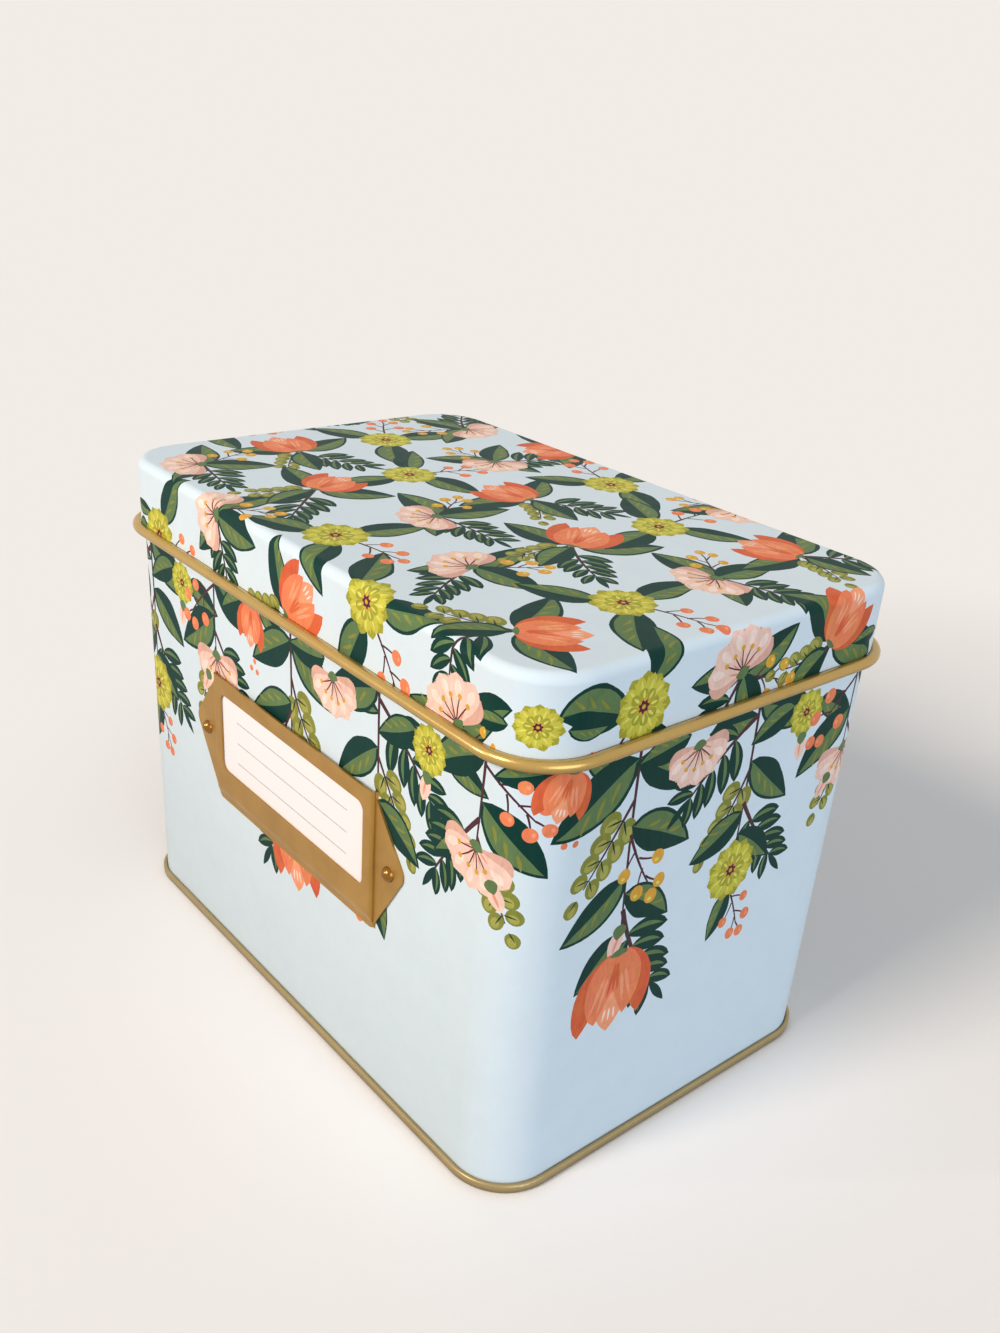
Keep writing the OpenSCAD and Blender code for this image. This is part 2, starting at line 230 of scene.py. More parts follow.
def fern(rng, size):
    """A frond of narrow leaflets in two greens."""
    pairs = 5
    sag = rng.uniform(-0.12, 0.12)
    line, _ = spine((0, 0), (0, size), sag, pairs + 3)
    marks = [(LEAVES, "maroon", stem((0, 0), (0, 0.96 * size), 0.045 * size, sag, tip=0.4))]
    for k in range(1, pairs + 1):
        share = k / (pairs + 1)
        long = size * (0.43 - 0.17 * share)
        for side in (-1, 1):
            base = line[k + 1] - np.array([0, 0.02 * size * (side + 1)])
            reach = long * rng.uniform(0.92, 1.06)
            tip = base + at_angle(reach, side * (62 - 26 * share + rng.uniform(-5, 5)))
            sag = -0.08 * side
            whole = lens(rng, base, tip, 0.40 * long, sag, full=0.7, count=9)
            inner = base + (tip - base) * 0.88
            lit = (0, 1) if side > 0 else (1, 0)
            half = lens(rng, base, inner, 0.2 * long, sag, full=0.8, sides=lit, count=8)
            marks += [(LEAVES, "deep_green", whole), (LEAVES, "moss", half)]
    end = line[-2] + (line[-1] - line[-3]) * 1.1
    return marks + [(LEAVES, "deep_green", lens(rng, line[-2], end, 0.075 * size, count=9))]


def coins(rng, size):
    """A sprig of round leaves, in pairs with a single one at the end."""
    pairs = 4
    sag = rng.uniform(-0.12, 0.12)
    line, _ = spine((0, 0), (0, size), sag, pairs + 2)
    marks = [(LEAVES, "maroon", stem((0, 0), (0, 0.9 * size), 0.04 * size, sag, tip=0.4))]
    for k in range(1, pairs + 2):
        last = k > pairs
        r = size * (0.145 - 0.05 * k / (pairs + 1))
        for side in (-1,) if last else (-1, 1):
            x, y = line[k] + at_angle(r * 1.15, 0 if last else side * 58)
            turn = 0 if last else -side * 0.5
            marks.append((LEAVES, "olive", oval(rng, x, y, 0.82 * r, r, turn, count=16)))
            lit = oval(rng, x + 0.16 * r, y + 0.14 * r, 0.44 * r, 0.62 * r, turn, count=12)
            rib = stroke(rng, line[k], (x + side * 0.2 * r, y + 0.3 * r), 0.16 * r)
            marks += [(LEAVES, "pale_olive", lit), (LEAVES, "deep_green", rib)]
    return marks


# The berries' twigs: (share of the stem, degrees, length)
TWIGS = ((0.25, -48, 0.3), (0.38, 50, 0.3), (0.55, -40, 0.3), (0.68, 38, 0.26), (0.8, -4, 0.2))


def berries(rng, size, tone="coral", lit="coral_light"):
    """A forked sprig of round berries."""
    marks = [(LEAVES, "maroon", stem((0, 0), (0, 0.8 * size), 0.04 * size, sag=0.05, tip=0.5))]
    for at, angle, reach in TWIGS:
        base = np.array([0, at * size])
        end = base + at_angle(reach * size, angle + rng.uniform(-6, 6))
        r = 0.085 * size * rng.uniform(0.92, 1.1)
        marks.append((LEAVES, "maroon", stem(base, end, 0.028 * size, sag=0.1, tip=0.7, count=6)))
        marks.append((BLOOMS, tone, oval(rng, end[0], end[1], r, r * 1.06, 0, count=16)))
        spot = oval(rng, end[0] - 0.3 * r, end[1] + 0.28 * r, 0.34 * r, 0.26 * r, 0.7, count=9)
        marks.append((BLOOMS, lit, spot))
    return marks


def calyx(rng, half, height, width, sag):
    """The green cup under a bloom, drawn across its stem."""
    return BLOOMS, "moss", lens(rng, (-half, height), (half, height), width, sag, full=0.8, count=9)


def tulip(rng, size):
    """A tulip cup of five pointed petals."""
    marks = []
    for side in (-1, 1):
        tip = (side * 0.46 * size, 0.98 * size)
        petal = lens(rng, (0, 0), tip, 0.46 * size, -0.24 * side, widest=0.45, full=0.7)
        marks.append((BLOOMS, "coral_deep", petal))
    petal = lens(rng, (0, 0), (0, 1.06 * size), 0.52 * size, widest=0.52, full=0.75)
    marks.append((BLOOMS, "coral_light", petal))
    for side in (-1, 1):
        foot, tip = (side * 0.02 * size, 0), (side * 0.22 * size, 0.9 * size)
        petal = lens(rng, foot, tip, 0.44 * size, -0.2 * side, widest=0.4, full=0.7)
        marks.append((BLOOMS, "coral", petal))
    marks.append((BLOOMS, "coral", oval(rng, 0, 0.24 * size, 0.29 * size, 0.23 * size, 0, count=20)))
    for degrees in (-24, -15, 15, 24):
        tip = at_angle(rng.uniform(0.66, 0.8) * size, degrees) + np.array([0, 0.02 * size])
        light = stroke(rng, at_angle(0.3 * size, degrees * 1.3), tip, 0.055 * size, 0.0006 * degrees)
        marks.append((BLOOMS, "coral_light", light))
    for degrees in (-8, 0, 8):
        foot, tip = at_angle(0.12 * size, degrees), at_angle(rng.uniform(0.5, 0.62) * size, degrees)
        marks.append((BLOOMS, "coral_deep", stroke(rng, foot, tip, 0.045 * size)))
    for degrees in (-14, 0, 14):
        foot, tip = at_angle(0.74 * size, degrees * 0.35), at_angle(0.92 * size, degrees * 0.4)
        marks.append((BLOOMS, "blush_light", stroke(rng, foot, tip, 0.03 * size)))
    return marks + [calyx(rng, 0.14 * size, 0.02 * size, 0.1 * size, -0.15)]


# The rosette's rings of petals: (count, radius, petal width, ink, lighter ink)
ROSETTE_RINGS = (
    (11, 1.0, 0.46, "lime_deep", "lime"),
    (11, 0.9, 0.34, "lime", "lime_light"),
    (8, 0.56, 0.3, "lime_deep", "lime_light"),
)
EYE_DOTS = 7


def rosette(rng, size):
    """A round head of lime petals about a dark eye. size is its radius."""
    marks = []
    for ring, (count, far, wide, tone, lit) in enumerate(ROSETTE_RINGS):
        for k in range(count):
            degrees = (k + 0.5 * (ring % 2)) * 360 / count
            heart = at_angle(0.1 * size, degrees)
            tip = at_angle(far * size * rng.uniform(0.95, 1.04), degrees)
            petal = lens(rng, heart, tip, wide * size, widest=0.68, full=0.6, count=9)
            low, high = at_angle(0.42 * far * size, degrees + 3), at_angle(0.88 * far * size, degrees + 3)
            marks += [(BLOOMS, tone, petal), (BLOOMS, lit, stroke(rng, low, high, 0.09 * size))]
    marks.append((BLOOMS, "maroon", oval(rng, 0, 0, 0.2 * size, 0.2 * size, 0, count=14)))
    for k in range(EYE_DOTS):
        x, y = at_angle(0.2 * size, k * 360 / EYE_DOTS)
        marks.append((BLOOMS, "gold_dot", oval(rng, x, y, 0.055 * size, 0.055 * size, 0, count=8)))
    return marks + [(BLOOMS, "gold_dot", oval(rng, 0, 0, 0.07 * size, 0.07 * size, 0, count=8))]


def fan(rng, size):
    """A half-round blush flower with a scalloped edge and long stamens."""
    marks = []
    for degrees in (-76, -46, -16, 16, 46, 76):
        under = lens(rng, (0, 0), at_angle(0.93 * size, degrees), 0.52 * size, widest=0.7, full=0.55)
        marks.append((BLOOMS, "blush_deep", under))
    for degrees in (-60, -30, 0, 30, 60):
        tip = at_angle(size * rng.uniform(0.97, 1.04), degrees)
        petal = lens(rng, (0, 0), tip, 0.5 * size, widest=0.72, full=0.55)
        low, high = at_angle(0.5 * size, degrees + 3), at_angle(0.9 * size, degrees + 3)
        light = lens(rng, low, high, 0.2 * size, widest=0.6, full=0.7, count=8)
        throat = stroke(rng, at_angle(0.14 * size, degrees), at_angle(0.42 * size, degrees), 0.05 * size)
        marks += [(BLOOMS, "blush", petal), (BLOOMS, "blush_light", light), (BLOOMS, "rose", throat)]
    for degrees in (-52, -26, 0, 26, 52):
        end = at_angle(size * rng.uniform(0.5, 0.62), degrees + 12)
        marks.append((BLOOMS, "maroon", stem((0, 0.08 * size), end, 0.035 * size, 0.05, tip=0.8, count=5)))
        marks.append((BLOOMS, "gold_dot", oval(rng, end[0], end[1], 0.06 * size, 0.06 * size, 0, count=8)))
    return marks + [calyx(rng, 0.2 * size, 0.05 * size, 0.24 * size, -0.2)]


def bud(rng, size):
    """A small closed bud with its calyx."""
    petals = lens(rng, (0, 0), (0, size), 0.5 * size, full=0.7, count=10)
    crease = stroke(rng, (0.03 * size, 0.3 * size), (0.02 * size, 0.85 * size), 0.1 * size)
    cup = lens(rng, (0, -0.05 * size), (0, 0.42 * size), 0.46 * size, widest=0.4, full=0.8, count=9)
    return [(BLOOMS, "blush", petals), (BLOOMS, "rose", crease), (BLOOMS, "moss", cup)]


def dots(rng, size):
    """Three coral dots in a triangle."""
    marks = []
    for k in range(3):
        x, y = at_angle(0.55 * size, 120 * k)
        marks.append((LEAVES, "coral", oval(rng, x, y, 0.28 * size, 0.28 * size, 0, count=9)))
    return marks


def moved(marks, x, y, degrees=0.0, mirror=False):
    """Marks turned clockwise by degrees about their origin and put at x, y."""
    a = math.radians(-degrees)
    turn = np.array([[math.cos(a), math.sin(a)], [-math.sin(a), math.cos(a)]])
    flip = np.array([-1 if mirror else 1, 1])
    return [(layer, ink, (outline * flip) @ turn + np.array([x, y])) for layer, ink, outline in marks]


# The body's artwork: sprigs that hang from under the lid, drawn with fixed seeds. A plan is a list of
# (motif, size, distance across from the stem, height, degrees, and the inks if they aren't the usual ones).
BODY_SEED, LID_SEED = 31, 57
BODY_GROWTH, LID_GROWTH = 1.13, 1.14
SPRIGS = 15
PITCH = ROUND / SPRIGS
STEM_TOP, STEM_WIDTH, STEM_POINTS = 109.0, 0.9, 60
GOLDEN = ("gold_dot", "lime_light")

LONG_SPRIG = (
    (leaf, 20, 0, 101, 122), (leaf, 18, 0, 101, 236), (coins, 20, 0, 92, 146), (leaf, 17, 0, 86, 244),
    (berries, 18, 0, 84, 208, *GOLDEN), (leaf, 17, 0, 74, 128), (leaf, 15, 0, 70, 232),
    (fern, 26, 0, 66, 207), (leaf, 14, 0, 60, 138), (bud, 7, 0, 62, 160), (tulip, 16, 0, 55, 176),
)
MIDDLE_SPRIG = (
    (leaf, 19, 0, 103, 116), (fern, 24, 0, 101, 226), (leaf, 17, 0, 90, 128), (coins, 19, 0, 88, 214),
    (fern, 22, 0, 80, 148), (leaf, 15, 0, 78, 240), (leaf, 13, 0, 72, 128), (rosette, 7.2, 0, 63, 0),
    (leaf, 12, 0, 58, 196), (berries, 14, 0, 59, 160),
)
SHORT_SPRIG = (
    (leaf, 18, 0, 104, 244), (berries, 16, 0, 102, 132), (leaf, 18, 0, 94, 128), (fern, 21, 0, 90, 216),
    (coins, 17, 0, 86, 158), (leaf, 13, 0, 84, 236), (fan, 9.5, 0, 84, 186), (bud, 6, 4, 78, 152),
)
# Each kind of sprig: its plan, the height of its stem's end, and what fills the space beside it
SPRIG_KINDS = (
    (LONG_SPRIG, 54, ((fan, 8.5, 0, 99, 168), (leaf, 13, -3, 102, 262), (leaf, 13, 3, 101, 98))),
    (MIDDLE_SPRIG, 64, ((rosette, 5, 0, 97, 0), (leaf, 13, -4, 100, 248), (leaf, 13, 4, 99, 112),
                        (bud, 6, 0, 92, 186))),
    (SHORT_SPRIG, 83, ((tulip, 9, 0, 103, 190), (leaf, 12, -2, 104, 250), (leaf, 12, 3, 104, 112),
                       (dots, 2.4, 1, 88, 0))),
)


def hang(rng, plan, drop, mirror):
    """A sprig that hangs from height STEM_TOP to height drop, at distance 0."""
    bow = rng.uniform(-0.05, 0.05)
    line, _ = spine((0, STEM_TOP), (rng.uniform(-2, 2), drop), bow, STEM_POINTS)
    marks = [(LEAVES, "maroon", stem(line[0], line[-1], STEM_WIDTH, bow, tip=0.5, count=14))]
    for motif, size, across, height, degrees, *inks in plan:
        at = line[int(np.argmin(np.abs(line[:, 1] - height)))]
        grown = motif(rng, size * BODY_GROWTH * rng.uniform(0.95, 1.06), *inks)
        marks += moved(grown, at[0] + across, height, degrees + rng.uniform(-5, 5))
    return moved(marks, 0, 0, 0, mirror)


def body_art():
    """All marks on the unrolled wall. A sprig that crosses the ends of the sheet is drawn at both."""
    rng = random.Random(BODY_SEED)
    marks = []
    for k in range(SPRIGS):
        place = k - SPRIGS // 2
        plan, drop, beside = SPRIG_KINDS[place % len(SPRIG_KINDS)]
        own = hang(rng, plan, drop, k % 2 == 0)
        for motif, size, across, height, degrees in beside:
            grown = motif(rng, size * BODY_GROWTH)
            own += moved(grown, PITCH / 2 + across, height, degrees + rng.uniform(-8, 8))
        own = moved(own, place * PITCH, 0)
        marks += own
        if max(outline[:, 0].max() for _, _, outline in own) > ROUND / 2:
            marks += moved(own, -ROUND, 0)
        if min(outline[:, 0].min() for _, _, outline in own) < -ROUND / 2:
            marks += moved(own, ROUND, 0)
    return marks


# The lid's artwork: posies in staggered columns, each turned by its column and row. One that lies further
# beyond a corner's centre than the gap, both ways, is left out. A plan is a list of (motif, size, across, up,
# degrees, and the inks if they aren't the usual ones).
LID_COLUMNS, LID_ROWS = 7, 5
COLUMN_STEP, ROW_STEP = 30.0, 27.4
COLUMN_TURN, ROW_TURN = 137, 71
CORNER_GAP_X, CORNER_GAP_Y = 9, 6
POSIES = (
    ((leaf, 17, 1, 0, 62), (leaf, 16, -1, 0, 292), (fern, 20, 0, 0, 150), (coins, 15, 0, 0, 214),
     (leaf, 14, 0, -1, 182), (tulip, 12, 0, 0, 0)),
    ((leaf, 17, 0, 4, 20), (leaf, 16, 4, -2, 128), (leaf, 16, -4, -1, 250), (berries, 15, -3, 3, 318),
     (rosette, 6.4, 0, 0, 0)),
    ((leaf, 16, 0, -1, 84), (fern, 19, 0, 0, 250), (berries, 14, 0, -1, 128, *GOLDEN), (leaf, 16, 0, 0, 184),
     (leaf, 13, 0, 0, 300), (fan, 8.8, 0, 0, 0)),
)
# What goes round each corner of the skirt: (motif, size, distance across from its middle, height, degrees)
CORNER_POSY = ((rosette, 4.6, 0, 112.6, 0.0), (leaf, 9, 5, 112, 96), (leaf, 9, -5, 112, 262))


def posy(rng, plan):
    """One posy round the origin."""
    marks = []
    for motif, size, across, up, degrees, *inks in plan:
        grown = motif(rng, size * LID_GROWTH * rng.uniform(0.94, 1.06), *inks)
        marks += moved(grown, across, up, degrees + rng.uniform(-6, 6))
    return marks


def lid_art():
    """All marks on the lid's flat sheet."""
    rng = random.Random(LID_SEED)
    marks = []
    for i in range(LID_COLUMNS):
        for j in range(LID_ROWS + i % 2):
            x = (i - (LID_COLUMNS - 1) / 2) * COLUMN_STEP
            y = (j - (LID_ROWS - 1 + i % 2) / 2) * ROW_STEP
            if abs(x) > HALF_X + CORNER_GAP_X and abs(y) > HALF_Y + CORNER_GAP_Y:
                continue
            turn = (i * COLUMN_TURN + j * ROW_TURN) % 360
            marks += moved(posy(rng, POSIES[(i + j) % len(POSIES)]), x, y, turn)
    for side in (1, -1):
        for corner in CORNER_STARTS:
            middle = side * (corner + ARC / 2)
            for motif, size, across, height, degrees in CORNER_POSY:
                own = moved(motif(rng, size), middle + across, height, degrees)
                marks += [(layer, ink, sheet_from_skirt(outline)) for layer, ink, outline in own]
    return marks


# Materials. Sizes of noise and depths of bumps are in millimetres.

def linear(code):
    """A colour's linear parts from its six-digit code."""
    parts = [int(code[k:k + 2], 16) / 255 for k in (0, 2, 4)]
    return tuple(c / 12.92 if c <= 0.04045 else ((c + 0.055) / 1.055) ** 2.4 for c in parts) + (1.0,)


def put(tree, kind, inputs=None, **settings):
    """A new node, with its settings and its inputs given or linked."""
    node = tree.nodes.new(kind)
    for key, value in settings.items():
        setattr(node, key, value)
    for key, value in (inputs or {}).items():
        if isinstance(value, bpy.types.NodeSocket):
            tree.links.new(value, node.inputs[key])
        else:
            node.inputs[key].default_value = value
    return node


def calc(tree, operation, a, b=0.0, clamp=False):
    """The result of one sum."""
    return put(tree, "ShaderNodeMath", {0: a, 1: b}, operation=operation, use_clamp=clamp).outputs[0]


def mix(tree, share, first, second):
    """A share of the second colour in the first."""
    return put(tree, "ShaderNodeMix", {0: share, 6: first, 7: second}, data_type="RGBA").outputs[2]


def axes(tree, place):
    """The x, y and z of a place."""
    return put(tree, "ShaderNodeSeparateXYZ", {0: place}).outputs


def new_material(name):
    """A material with a Principled shader, its tree and its object coordinates."""
    material = bpy.data.materials.new(name)
    material.use_nodes = True
    tree = material.node_tree
    tree.nodes.clear()
    shader = put(tree, "ShaderNodeBsdfPrincipled")
    output = put(tree, "ShaderNodeOutputMaterial")
    tree.links.new(shader.outputs[0], output.inputs[0])
    place = put(tree, "ShaderNodeTexCoord").outputs["Object"]
    return material, tree, shader, place


def noise(tree, place, size, detail=2.0, stretch=(1, 1, 1), warp=0.0):
    """Noise about 0.5 with spots of a size."""
    if stretch != (1, 1, 1):
        place = put(tree, "ShaderNodeMapping", {"Vector": place, "Scale": stretch}).outputs[0]
    inputs = {"Vector": place, "Scale": 1 / (size * MM), "Detail": detail, "Distortion": warp}
    return put(tree, "ShaderNodeTexNoise", inputs).outputs[0]


def spread(tree, source, low, high):
    """Carries noise of 0.3 to 0.7 to a range."""
    inputs = {"Value": source, 1: 0.3, 2: 0.7, 3: low, 4: high}
    return put(tree, "ShaderNodeMapRange", inputs, clamp=False).outputs[0]


def tint(tree, colour, value, hue=0.5):
    """A colour made lighter or darker by a factor. A hue of 0.5 leaves its hue."""
    return put(tree, "ShaderNodeHueSaturation", {"Color": colour, "Value": value, "Hue": hue}).outputs[0]


def bump(tree, shader, height, distance, strength=0.5):
    """Fine relief on a shader."""
    node = put(tree, "ShaderNodeBump", {"Height": height, "Distance": distance * MM, "Strength": strength})
    tree.links.new(node.outputs[0], shader.inputs["Normal"])


# The inks' codes, and how rough the satin varnish over them is
GROUND = "D7E8F2"
VARNISH = 0.44
INK_CODES = {
    "deep_green": "0F3832", "moss": "5F7A50", "olive": "83883F", "pale_olive": "A5A455",
    "coral": "E8855C", "coral_light": "F2A079", "coral_deep": "D4653F",
    "lime": "C6C24A", "lime_light": "DAD76A", "lime_deep": "A3A238",
    "blush": "EFCCBD", "blush_deep": "DDAE9E", "blush_light": "F7E0D4",
    "rose": "E79A86", "maroon": "4E2F38", "gold_dot": "D9A441",
}
INK_NAMES = ["ground"] + list(INK_CODES)


def gouache(name, code, brush=0.09, broad=0.05, grain=0.02):
    """Printed gouache: broad pools, brush marks and a fine grain under satin varnish."""
    material, tree, shader, place = new_material(name)
    pools = spread(tree, noise(tree, place, 9), -broad, broad)
    marks = spread(tree, noise(tree, place, 1.3, detail=3, stretch=(1, 1, 0.35), warp=1.2), -brush, brush)
    fine = spread(tree, noise(tree, place, 0.22, detail=1), -grain, grain)
    value = calc(tree, "ADD", calc(tree, "ADD", pools, marks), calc(tree, "ADD", fine, 1.0))
    hue = spread(tree, noise(tree, place, 4), 0.494, 0.506)
    tree.links.new(tint(tree, linear(code), value, hue), shader.inputs["Base Color"])
    rough = spread(tree, noise(tree, place, 5), VARNISH - 0.03, VARNISH + 0.04)
    tree.links.new(rough, shader.inputs["Roughness"])
    bump(tree, shader, noise(tree, place, 2.2), distance=0.004)
    shader.inputs["Specular IOR Level"].default_value = 0.07
    return material


INK = {name: gouache("ink_" + name, code) for name, code in INK_CODES.items()}
INK["ground"] = gouache("ink_ground", GROUND, brush=0.006, broad=0.012, grain=0.008)

# Metals, bright and worn. WEAR is how much of the worn colour shows where a sheet is most worn.
GOLD, GOLD_WORN = linear("C2A25C"), linear("A98A4A")
# The body's inside gold is lighter than the lid's gold: painted light that makes up for the shade inside the
# box
INSIDE_GOLD_PAINTED_LIGHT, INSIDE_GOLD_WORN_PAINTED_LIGHT = linear("DCC284"), linear("CDB072")
# The base's gold is darker and duller than the lid's: partly its own duller colour, partly painted shade for
# the seam along the floor
BASE_GOLD_SHADED, BASE_GOLD_WORN_SHADED = linear("AE9A6C"), linear("8E7C52")
STEEL, STEEL_WORN = linear("B9B4AA"), linear("8C877E")
BRASS, BRASS_DARK, RIVET_BRASS = linear("B58B42"), linear("7E5C2A"), linear("96682F")
WEAR = 0.3


def metal(name, bright, worn, rough, metallic=0.5, grain=0.4, scratch=(1, 1, 1), patch=14, shade=None):
    """Lacquered or plated sheet: worn patches and fine drawn grain. shade is (low, high, share), a painted
    shade that darkens the colour towards the bottom: up to the low height only that share of the colour
    shows, and the full colour comes back at the high height."""
    material, tree, shader, place = new_material(name)
    patches = spread(tree, noise(tree, place, patch, detail=4, warp=0.6), 0, 1)
    lines = noise(tree, place, grain, detail=3, stretch=scratch)
    mixed = mix(tree, calc(tree, "MULTIPLY", patches, WEAR, clamp=True), bright, worn)
    value = spread(tree, lines, 0.985, 1.015)
    # Painted shade: the colour darkens from the high height down to the low one
    if shade:
        low, high, least = shade
        heights = {"Value": axes(tree, place)[2], 1: low * MM, 2: high * MM, 3: least, 4: 1.0}
        value = calc(tree, "MULTIPLY", value, put(tree, "ShaderNodeMapRange", heights).outputs[0])
    tree.links.new(tint(tree, mixed, value), shader.inputs["Base Color"])
    fine = spread(tree, lines, -0.01, 0.01)
    slow = spread(tree, noise(tree, place, patch), rough - 0.03, rough + 0.04)
    tree.links.new(calc(tree, "ADD", fine, slow), shader.inputs["Roughness"])
    shader.inputs["Metallic"].default_value = metallic
    bump(tree, shader, lines, distance=0.001, strength=0.2)
    return material


def far_out(tree, place):
    """In metres, how far a point lies outside the rectangle through the corners' centres, and its height."""
    parts = axes(tree, place)
    over = []
    for part, half in ((parts[0], HALF_X), (parts[1], HALF_Y)):
        over.append(calc(tree, "MAXIMUM", calc(tree, "SUBTRACT", calc(tree, "ABSOLUTE", part), half * MM)))
    squares = [calc(tree, "MULTIPLY", one, one) for one in over]
    return calc(tree, "SQRT", calc(tree, "ADD", squares[0], squares[1])), parts[2]


def shell_metal():
    """The body's sheet: gold lacquer inside, the print's pale ground outside and over the rolled rim."""
    metallic = 0.6
    material, tree, shader, place = new_material("tin_gold_inside_pale_outside")
    out, height = far_out(tree, place)
    necked = calc(tree, "GREATER_THAN", height, (NECK_Z + NECK_H / 2) * MM)
    face = calc(tree, "SUBTRACT", (CORNER_R - SHEET / 2) * MM, calc(tree, "MULTIPLY", necked, NECK_IN * MM))
    outside = calc(tree, "GREATER_THAN", out, face)
    curl = calc(tree, "GREATER_THAN", height, CURL_FOOT * MM)
    pale = calc(tree, "MAXIMUM", outside, curl)
    patches = spread(tree, noise(tree, place, 20, detail=3, warp=0.5), 0, 0.6)
    lines = noise(tree, place, 0.25, detail=3, stretch=(1, 1, 0.08))
    # Painted light: this inside gold is lighter than the lid's
    gold = mix(tree, patches, INSIDE_GOLD_PAINTED_LIGHT, INSIDE_GOLD_WORN_PAINTED_LIGHT)
    gold = tint(tree, gold, spread(tree, lines, 0.95, 1.05))
    ground = tint(tree, linear(GROUND), spread(tree, noise(tree, place, 9), 0.985, 1.015))
    tree.links.new(mix(tree, pale, gold, ground), shader.inputs["Base Color"])
    bare = calc(tree, "SUBTRACT", metallic, calc(tree, "MULTIPLY", pale, metallic))
    tree.links.new(bare, shader.inputs["Metallic"])
    tree.links.new(spread(tree, noise(tree, place, 5), 0.32, 0.4), shader.inputs["Roughness"])
    bump(tree, shader, noise(tree, place, 2.2), distance=0.004)
    return material


# The card's ruled lines: the foot of the lowest row, the rows' height, a line's width, half its length
RULE_FOOT, RULE_STEP, RULE_WIDTH, RULE_HALF, RULES = 56.2, 5.6, 0.34, 24.0, 3
STOCK, RULE_INK = linear("F5F2F5"), linear("9DA3A6")


def paper():
    """Pale card with thin ruled lines, each in the middle of its row."""
    material, tree, shader, place = new_material("card_paper")
    parts = axes(tree, place)
    rows = calc(tree, "DIVIDE", calc(tree, "SUBTRACT", parts[2], RULE_FOOT * MM), RULE_STEP * MM)
    off = calc(tree, "ABSOLUTE", calc(tree, "SUBTRACT", calc(tree, "FRACT", rows), 0.5))
    line = calc(tree, "LESS_THAN", off, RULE_WIDTH / RULE_STEP / 2)
    near = calc(tree, "LESS_THAN", calc(tree, "ABSOLUTE", parts[0]), RULE_HALF * MM)
    low = calc(tree, "GREATER_THAN", rows, 0.0)
    high = calc(tree, "LESS_THAN", rows, float(RULES))
    share = calc(tree, "MULTIPLY", calc(tree, "MULTIPLY", line, near), calc(tree, "MULTIPLY", low, high))
    share = calc(tree, "MULTIPLY", share, spread(tree, noise(tree, place, 0.5), 0.55, 0.8))
    fibre = noise(tree, place, 0.35, detail=4, stretch=(0.5, 1, 1))
    stock = tint(tree, STOCK, spread(tree, fibre, 0.985, 1.01))
    tree.links.new(mix(tree, share, stock, RULE_INK), shader.inputs["Base Color"])
    tree.links.new(spread(tree, fibre, 0.7, 0.85), shader.inputs["Roughness"])
    bump(tree, shader, fibre, distance=0.01)
    return material


# Painted shade on the gold, darker towards the bottom: the lower half of the lid's bead, and the foot of the
# bottom seam
BEAD_PAINTED_SHADE, SEAM_FOOT_PAINTED_SHADE = (HINGE_Z - 1.2, HINGE_Z + 0.2, 0.55), (0.2, 1.6, 0.5)
NODE_MATERIALS = {
    "body_shell": shell_metal(),
    "lid_shell": metal("tin_gold", GOLD, GOLD_WORN, rough=0.24, metallic=0.55, grain=3.0, shade=BEAD_PAINTED_SHADE),
    "base_panel": metal("tin_gold_base", BASE_GOLD_SHADED, BASE_GOLD_WORN_SHADED, rough=0.34, shade=SEAM_FOOT_PAINTED_SHADE),
    "hinge_wire": metal("hinge_steel", STEEL, STEEL_WORN, rough=0.28, metallic=1.0, grain=0.15,
                        scratch=(0.1, 1, 1)),
    "hinge_strap_left": metal("strap_gold_left", GOLD, GOLD_WORN, rough=0.3),
    "hinge_strap_right": metal("strap_gold_right", GOLD, GOLD_WORN, rough=0.3),
    "label_holder": metal("brass_antique", BRASS, BRASS_DARK, rough=0.4, metallic=0.65, grain=0.3,
                          scratch=(0.3, 1, 1), patch=8),
    "label_rivets": metal("brass_rivet", RIVET_BRASS, BRASS_DARK, rough=0.2, metallic=0.9, grain=0.3,
                          patch=1.5),
    "label_card": paper(),
}
for node_name, node_material in NODE_MATERIALS.items():
    node_mesh = frame["nodes"][node_name].data
    node_mesh.materials.clear()
    node_mesh.materials.append(node_material)

# The pressed brass has softened edges, which catch the light
SOFT_EDGE = 0.12
soft_edges = frame["nodes"]["label_holder"].modifiers.new("soft edges", "BEVEL")
soft_edges.width = SOFT_EDGE * MM
soft_edges.segments = 2
soft_edges.limit_method = "ANGLE"

# Sheets of print: how many cuts go round each corner, across the lid's soft edge and round a rivet hole
CORNER_CUTS, EDGE_CUTS, HOLE_CUTS = 18, 8, 20

# The wall's corners, anticlockwise from the front right: the signs of the centre, and where the arc starts
BACK_RIGHT = (1, 1, 0)
CORNERS = ((1, -1, -90), BACK_RIGHT, (-1, 1, 90), (-1, -1, 180))


def arc_points(cx, cy, radius, first, turns, count):
    """Points on an arc, from an angle in degrees and through another."""
    a = np.radians(first + np.linspace(0, turns, count + 1))
    return [(cx + radius * math.cos(t), cy + radius * math.sin(t)) for t in a]


def corner_arc(corner, out):
    """Points round one of the wall's corners, out from the wall by a distance."""
    side_x, side_y, first = corner
    return arc_points(side_x * HALF_X, side_y * HALF_Y, CORNER_R + out, first, 90, CORNER_CUTS)


